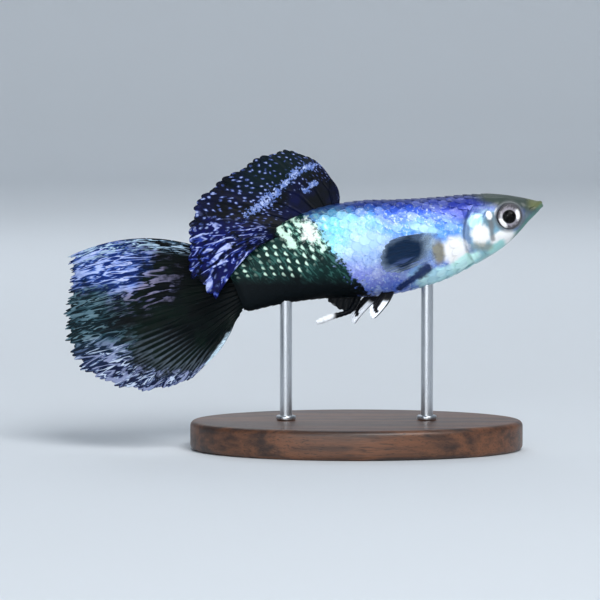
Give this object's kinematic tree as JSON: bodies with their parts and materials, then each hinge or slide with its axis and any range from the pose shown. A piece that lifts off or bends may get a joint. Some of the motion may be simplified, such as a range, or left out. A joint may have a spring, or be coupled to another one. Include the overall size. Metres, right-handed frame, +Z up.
{
  "type": "fancy guppy model",
  "caption": "Life-size still model of a swimming male fancy guppy with a wide fan tail and a tall dorsal fin, held over an oval wooden base by plain steel rods.",
  "frame": {"origin": "centre of the stand's underside", "axes": "+X towards the snout, -Y the fish's right side, +Z up"},
  "size_m": [0.0492, 0.021, 0.0307],
  "materials": {
    "head_skin": "satin",
    "body_skin": "satin",
    "stalk_skin": "satin",
    "dark_fin": "satin",
    "clear_fin": "satin",
    "eye": "gloss",
    "stand_wood": "oiled",
    "stand_steel": "brushed"
  },
  "bodies": {
    "root": {"head": "head_skin", "trunk": "body_skin", "tail_stalk": "stalk_skin", "tail_fin": "dark_fin", "dorsal_fin": "dark_fin", "anal_fin": "dark_fin", "pelvic_fin_right": "dark_fin", "pelvic_fin_left": "dark_fin", "pectoral_fin_right": "clear_fin", "pectoral_fin_left": "clear_fin", "eye_right": "eye", "eye_left": "eye", "stand_base": "stand_wood", "stand_rod_front": "stand_steel", "stand_rod_rear": "stand_steel"}
  },
  "joints": []
}
